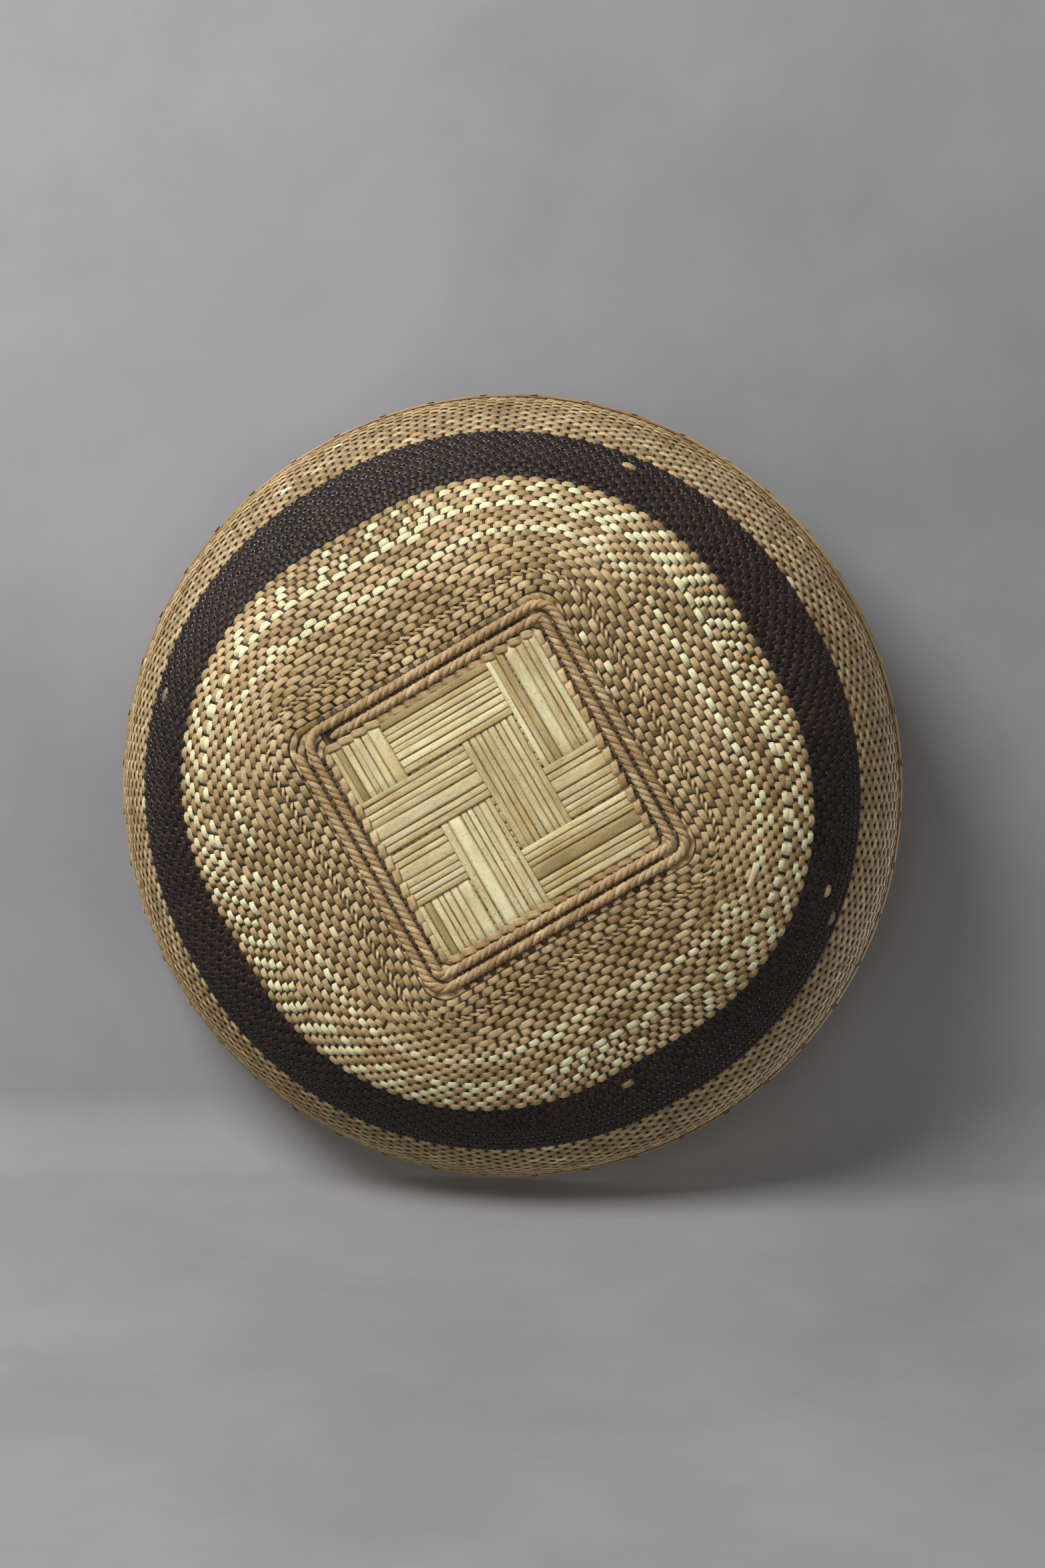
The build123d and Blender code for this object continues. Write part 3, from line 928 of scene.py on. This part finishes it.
def lash_rim(paint):
    """Loops of flat strip over the cane and down both hoops, slightly slanted."""
    shape, layers = new_shape()
    half, height, _, _ = level_at(STAKE_LENGTH)
    low_half, low_height, _, _ = level_at(STAKE_LENGTH - HOOP_HEIGHT)
    lean = atan2(height - low_height, half - low_half)
    reach = HOOP_CLEARANCE + HOOP_THICKNESS + 0.28  # from the stakes to the loop's middle
    crown, skirt = 0.75, -3.4  # heights of the arc's ends, and of a place halfway down the hoops
    for loop in range(LASHINGS):
        chance = random.Random(800 + loop)
        turn = (loop + 0.5) * 2 * pi / LASHINGS + chance.gauss(0, 0.002)
        tone = within_one(chance.gauss(0.55, 0.2))
        out = Vector((sin(lean) * cos(turn), sin(lean) * sin(turn), -cos(lean)))
        up = Vector((cos(lean) * cos(turn), cos(lean) * sin(turn), sin(lean)))
        along = Vector((-sin(turn), cos(turn), 0))
        base = point_at(level_at(STAKE_LENGTH), turn)
        line = [(-reach, -HOOP_HEIGHT), (-reach, skirt)]
        line += [(-reach * cos(a * pi / 10), crown + reach * sin(a * pi / 10)) for a in range(11)]
        line += [(reach, skirt), (reach, -HOOP_HEIGHT)]
        slant = chance.gauss(0.9, 0.15)
        columns = []
        for i, (x, y) in enumerate(line):
            before, after = line[max(0, i - 1)], line[min(len(line) - 1, i + 1)]
            dx, dy = after[0] - before[0], after[1] - before[1]
            run = hypot(dx, dy)
            face = out * (-dy / run) + up * (dx / run)
            point = base + out * x + up * y + along * (slant * (i / (len(line) - 1) - 0.5))
            columns.append(plain_column(point, along, face, 1.5 * chance.uniform(0.97, 1.03), 0.18, tone))
        roll_strip(shape, layers, columns, WEFT_SECTION, False)
    material = split_wood("lashing_wood", paint.cream_deep, paint.tan_deep, along=12, across=12,
                          edge_shade=0.5, blush=(1.0, 0.86, 0.68))
    finish_piece(shape, "rim_lashings", material, "lashing_strip", ["rim_lashing"])


# ---------------------------------------------------------------- loose ends

def loose_ends(paint):
    """A frayed tuft by the rim and one strip end that has sprung out of the weave."""
    shape, layers = new_shape()
    chance = random.Random(5)
    tuft_turn, tuft_level = radians(113.8), 124
    for _ in range(11):
        turn = tuft_turn + chance.gauss(0, 0.012)
        point, along, up, out = wall_frame(levels_about(tuft_level + chance.uniform(-2, 2)), turn)
        heading = (out + along * chance.gauss(0, 0.5) - up * chance.uniform(0, 0.6)).normalized()
        reach, bend = chance.uniform(2.5, 6.0), chance.gauss(0, 0.6)
        columns = []
        for i in range(7):
            t = i / 6
            middle = point + out * 0.6 + heading * (reach * t) + along * (bend * t * t)
            columns.append(plain_column(middle, along, up, 0.13 * (1.1 - t), 0.08, 0.8))
        roll_strip(shape, layers, columns, THIN_SECTION, False)
    end_turn, end_level = radians(226.2), 34.0
    point, along, up, out = wall_frame(levels_about(end_level), end_turn)
    columns = []
    for i in range(11):
        t = i / 10
        middle = point + along * (-1.0 + 7.5 * t) + out * (0.9 + 1.7 * t * t) - up * (1.4 * t * t)
        across = (up + along * 0.3 * t).normalized()
        columns.append(plain_column(middle, across, out, 1.25 * (1.15 - 0.45 * t), 0.36, 0.75, 0.4))
    roll_strip(shape, layers, columns, WEFT_SECTION, False)
    finish_piece(shape, "loose_strip_ends", tan_wood(paint), "tan_weft")


# ---------------------------------------------------------------- stage

# In metres. Up is the way that stands upright in the camera's view.
CAMERA_RIGHT = Vector((-0.874, -0.509, 0.0))
CAMERA_UP = Vector((-0.509, 0.874, 0.0))
CAMERA_BACK = Vector((-0.107, -0.003, -0.997))
CAMERA_DISTANCE = 1.645
AIM_HEIGHT = 0.075
AIM_OFFSET = (0.0065, 0.0018)
RIM_HALF = cad_high.x
SHELF_DROP = 0.0015
SHELF_TILT = 0.19
SHELF_FRONT = 1.5
SHELF_BEHIND = 0.012
SHELF_BEND = 0.03
WALL_TILT = 0.03
BACKDROP_HEIGHT = 1.6
BACKDROP_HALF = 1.6
GROUND_LEVEL = -0.0006
GROUND_HALF = 3.0


def one_sided(name, tint):
    """Softly mottled matt paint that is seen only from its front."""
    material = bpy.data.materials.new(name)
    material.use_nodes = True
    tree = material.node_tree
    shader = tree.nodes["Principled BSDF"]
    place = add_node(tree, "ShaderNodeTexCoord")
    cloud = noise(tree, place.outputs["Object"], 4.0, 7.0, ("Roughness", 0.62))
    tree.links.new(ramp(tree, cloud, [(0.3, dimmed(tint, 0.74)), (0.7, tint)]), shader.inputs["Base Color"])
    shader.inputs["Roughness"].default_value = 0.8
    shader.inputs["Specular IOR Level"].default_value = 0.15
    clear = add_node(tree, "ShaderNodeBsdfTransparent")
    side = add_node(tree, "ShaderNodeNewGeometry")
    chooser = add_node(tree, "ShaderNodeMixShader", [(0, side.outputs["Backfacing"]),
                                                     (1, shader.outputs[0]), (2, clear.outputs[0])])
    tree.links.new(chooser.outputs[0], tree.nodes["Material Output"].inputs["Surface"])
    return material


def stage_sheet(name, lines, front, material):
    """A sheet of stage paper swept through lines of two points each, seen from the side it fronts."""
    shape = bmesh.new()
    grid = bmesh.ops.create_grid(shape, x_segments=1, y_segments=len(lines) - 1, size=0.5)["verts"]
    for point, place in zip(grid, [end for line in lines for end in line]):
        point.co = place
    sheet = mesh_object(shape, name, material)
    for ray in ("visible_diffuse", "visible_glossy", "visible_transmission", "visible_shadow"):
        setattr(sheet, ray, False)
    sheet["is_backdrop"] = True
    if sheet.data.polygons[0].normal.dot(front) < 0:
        sheet.data.flip_normals()


def soft_light(name, heading, distance, size, power):
    """A square soft box that faces the basket from the given heading."""
    lamp = bpy.data.lights.new(name, "AREA")
    lamp.size, lamp.energy = size, power
    box = add_object(name, lamp)
    heading = Vector(heading).normalized()
    box.location = heading * distance + Vector((0, 0, 0.04))
    box.rotation_mode = "QUATERNION"
    box.rotation_quaternion = heading.to_track_quat("Z", "Y")


def set_stage(paint):
    """The basket is shown on its rim: a shelf under it, and a backdrop behind its mouth."""
    scene = bpy.context.scene
    camera_data = bpy.data.cameras.new("camera")
    camera_data.lens, camera_data.sensor_width = 85, 36
    camera_data.clip_start, camera_data.clip_end = 0.05, 20
    camera = add_object("camera", camera_data)
    scene.camera = camera
    back = CAMERA_BACK.normalized()
    right = CAMERA_UP.cross(back).normalized()
    up = back.cross(right)
    middle = Vector((0, 0, AIM_HEIGHT))
    aim = middle + CAMERA_RIGHT * AIM_OFFSET[0] + CAMERA_UP * AIM_OFFSET[1]
    place = aim + back * CAMERA_DISTANCE
    camera.matrix_world = Matrix.Translation(place) @ Matrix((right, up, back)).transposed().to_4x4()

    shelf_up = (CAMERA_UP + back * SHELF_TILT).normalized()
    wall_up = (CAMERA_UP - back * WALL_TILT).normalized()
    forward = right.cross(shelf_up).normalized()
    if forward.dot(back) < 0:
        forward = -forward
    foot = middle - CAMERA_UP * (RIM_HALF + SHELF_DROP)
    bend_centre = foot - forward * SHELF_BEHIND + wall_up * SHELF_BEND
    front_edge = foot + forward * SHELF_FRONT
    middles = [front_edge]
    for i in range(13):
        angle = pi / 2 * i / 12
        inwards = forward * sin(angle) + wall_up * cos(angle)
        middles.append(bend_centre - inwards * SHELF_BEND)
    middles.append(middles[-1] + wall_up * BACKDROP_HEIGHT)
    half_span = right * BACKDROP_HALF
    lines = [(point - half_span, point + half_span) for point in middles]
    stage_sheet("backdrop", lines, shelf_up, one_sided("stage_paper", paint.room))
    ends = (-GROUND_HALF, GROUND_HALF)
    lines = [[(x, y, GROUND_LEVEL) for x in ends] for y in ends]
    stage_sheet("ground", lines, Vector((0, 0, 1)), one_sided("ground_paper", paint.room))

    left = -right
    soft_light("key_light", up * 0.85 + left * 0.62 + back * 0.75, 1.5, 0.7, 26)
    soft_light("front_fill", up * 0.1 + left * 0.15 + back, 2.4, 1.2, 5)
    soft_light("upper_light", Vector((-0.35, -0.5, 1.0)), 1.8, 1.0, 9)
    world = bpy.data.worlds.new("room")
    scene.world = world
    world.use_nodes = True
    air = world.node_tree.nodes["Background"]
    air.inputs["Color"].default_value = (0.98, 0.99, 1.0, 1)
    air.inputs["Strength"].default_value = 0.3
    scene.view_settings.view_transform = "Standard"


# ---------------------------------------------------------------- operators and panel

def made_with(make, needs_sizes=True):
    """An execute method that makes a piece from the scene's sizes and colours."""
    def execute(self, context):
        settings = [context.scene.basket_sizes] if needs_sizes else []
        make(*settings, context.scene.basket_colours)
        return {"FINISHED"}
    return execute


class BASKET_OT_mat_slats(bpy.types.Operator):
    """Lays the base mat: bundles of split slats crossing in a twill"""
    bl_idname = "basket.mat_slats"
    bl_label = "Lay the Mat Slats"
    execute = made_with(lay_slats)


class BASKET_OT_mat_binding(bpy.types.Operator):
    """Twines two flat strips round the mat's edge"""
    bl_idname = "basket.mat_binding"
    bl_label = "Bind the Mat"
    execute = made_with(bind_mat)


class BASKET_OT_foot_cord(bpy.types.Operator):
    """Twists three strands into the cord that the basket stands on"""
    bl_idname = "basket.foot_cord"
    bl_label = "Twist the Foot Cord"
    execute = made_with(twist_cord)


class BASKET_OT_stakes(bpy.types.Operator):
    """Raises the stakes from the foot to the rim"""
    bl_idname = "basket.stakes"
    bl_label = "Raise the Stakes"
    execute = made_with(raise_stakes)


class BASKET_OT_weft(bpy.types.Operator):
    """Weaves every row of the wall, with its cream and dark bands"""
    bl_idname = "basket.weft"
    bl_label = "Weave the Wall"
    execute = made_with(weave_wall)


class BASKET_OT_rim(bpy.types.Operator):
    """Fits both rim hoops, the cane over them and the lashing"""
    bl_idname = "basket.rim"
    bl_label = "Finish the Rim"
    execute = made_with(make_rim, needs_sizes=False)


class BASKET_OT_loose_ends(bpy.types.Operator):
    """Adds the frayed tuft and the strip end that has sprung out"""
    bl_idname = "basket.loose_ends"
    bl_label = "Add Loose Ends"
    execute = made_with(loose_ends, needs_sizes=False)


class BASKET_OT_stage(bpy.types.Operator):
    """Sets the camera, the lights, the floor and the backdrop"""
    bl_idname = "basket.stage"
    bl_label = "Set the Stage"
    execute = made_with(set_stage, needs_sizes=False)


STEPS = ("stage", "foot_cord", "mat_slats", "mat_binding", "stakes", "weft", "rim", "loose_ends")


class BASKET_PT_maker(bpy.types.Panel):
    """Lists the basket's steps, sizes and colours"""
    bl_label = "Woven Basket"
    bl_space_type = "VIEW_3D"
    bl_region_type = "UI"
    bl_category = "Basket"

    def draw(self, context):
        for step in STEPS:
            self.layout.operator(f"basket.{step}")
        for settings in (context.scene.basket_sizes, context.scene.basket_colours):
            column = self.layout.column()
            for name in settings.__annotations__:
                column.prop(settings, name)


CLASSES = (BasketSizes, BasketColours, BASKET_OT_mat_slats, BASKET_OT_mat_binding, BASKET_OT_foot_cord,
           BASKET_OT_stakes, BASKET_OT_weft, BASKET_OT_rim, BASKET_OT_loose_ends, BASKET_OT_stage,
           BASKET_PT_maker)


def register():
    for each in CLASSES:
        bpy.utils.register_class(each)
    bpy.types.Scene.basket_sizes = PointerProperty(type=BasketSizes)
    bpy.types.Scene.basket_colours = PointerProperty(type=BasketColours)


def unregister():
    del bpy.types.Scene.basket_colours
    del bpy.types.Scene.basket_sizes
    for each in reversed(CLASSES):
        bpy.utils.unregister_class(each)


def main():
    """Makes the stage and every piece, and works out how big they came out."""
    register()
    for step in STEPS:
        getattr(bpy.ops.basket, step)()
    low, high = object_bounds()
    {"cad": [list(cad_low), list(cad_high)], "visual": [list(low), list(high)]}


if __name__ == "__main__":
    main()
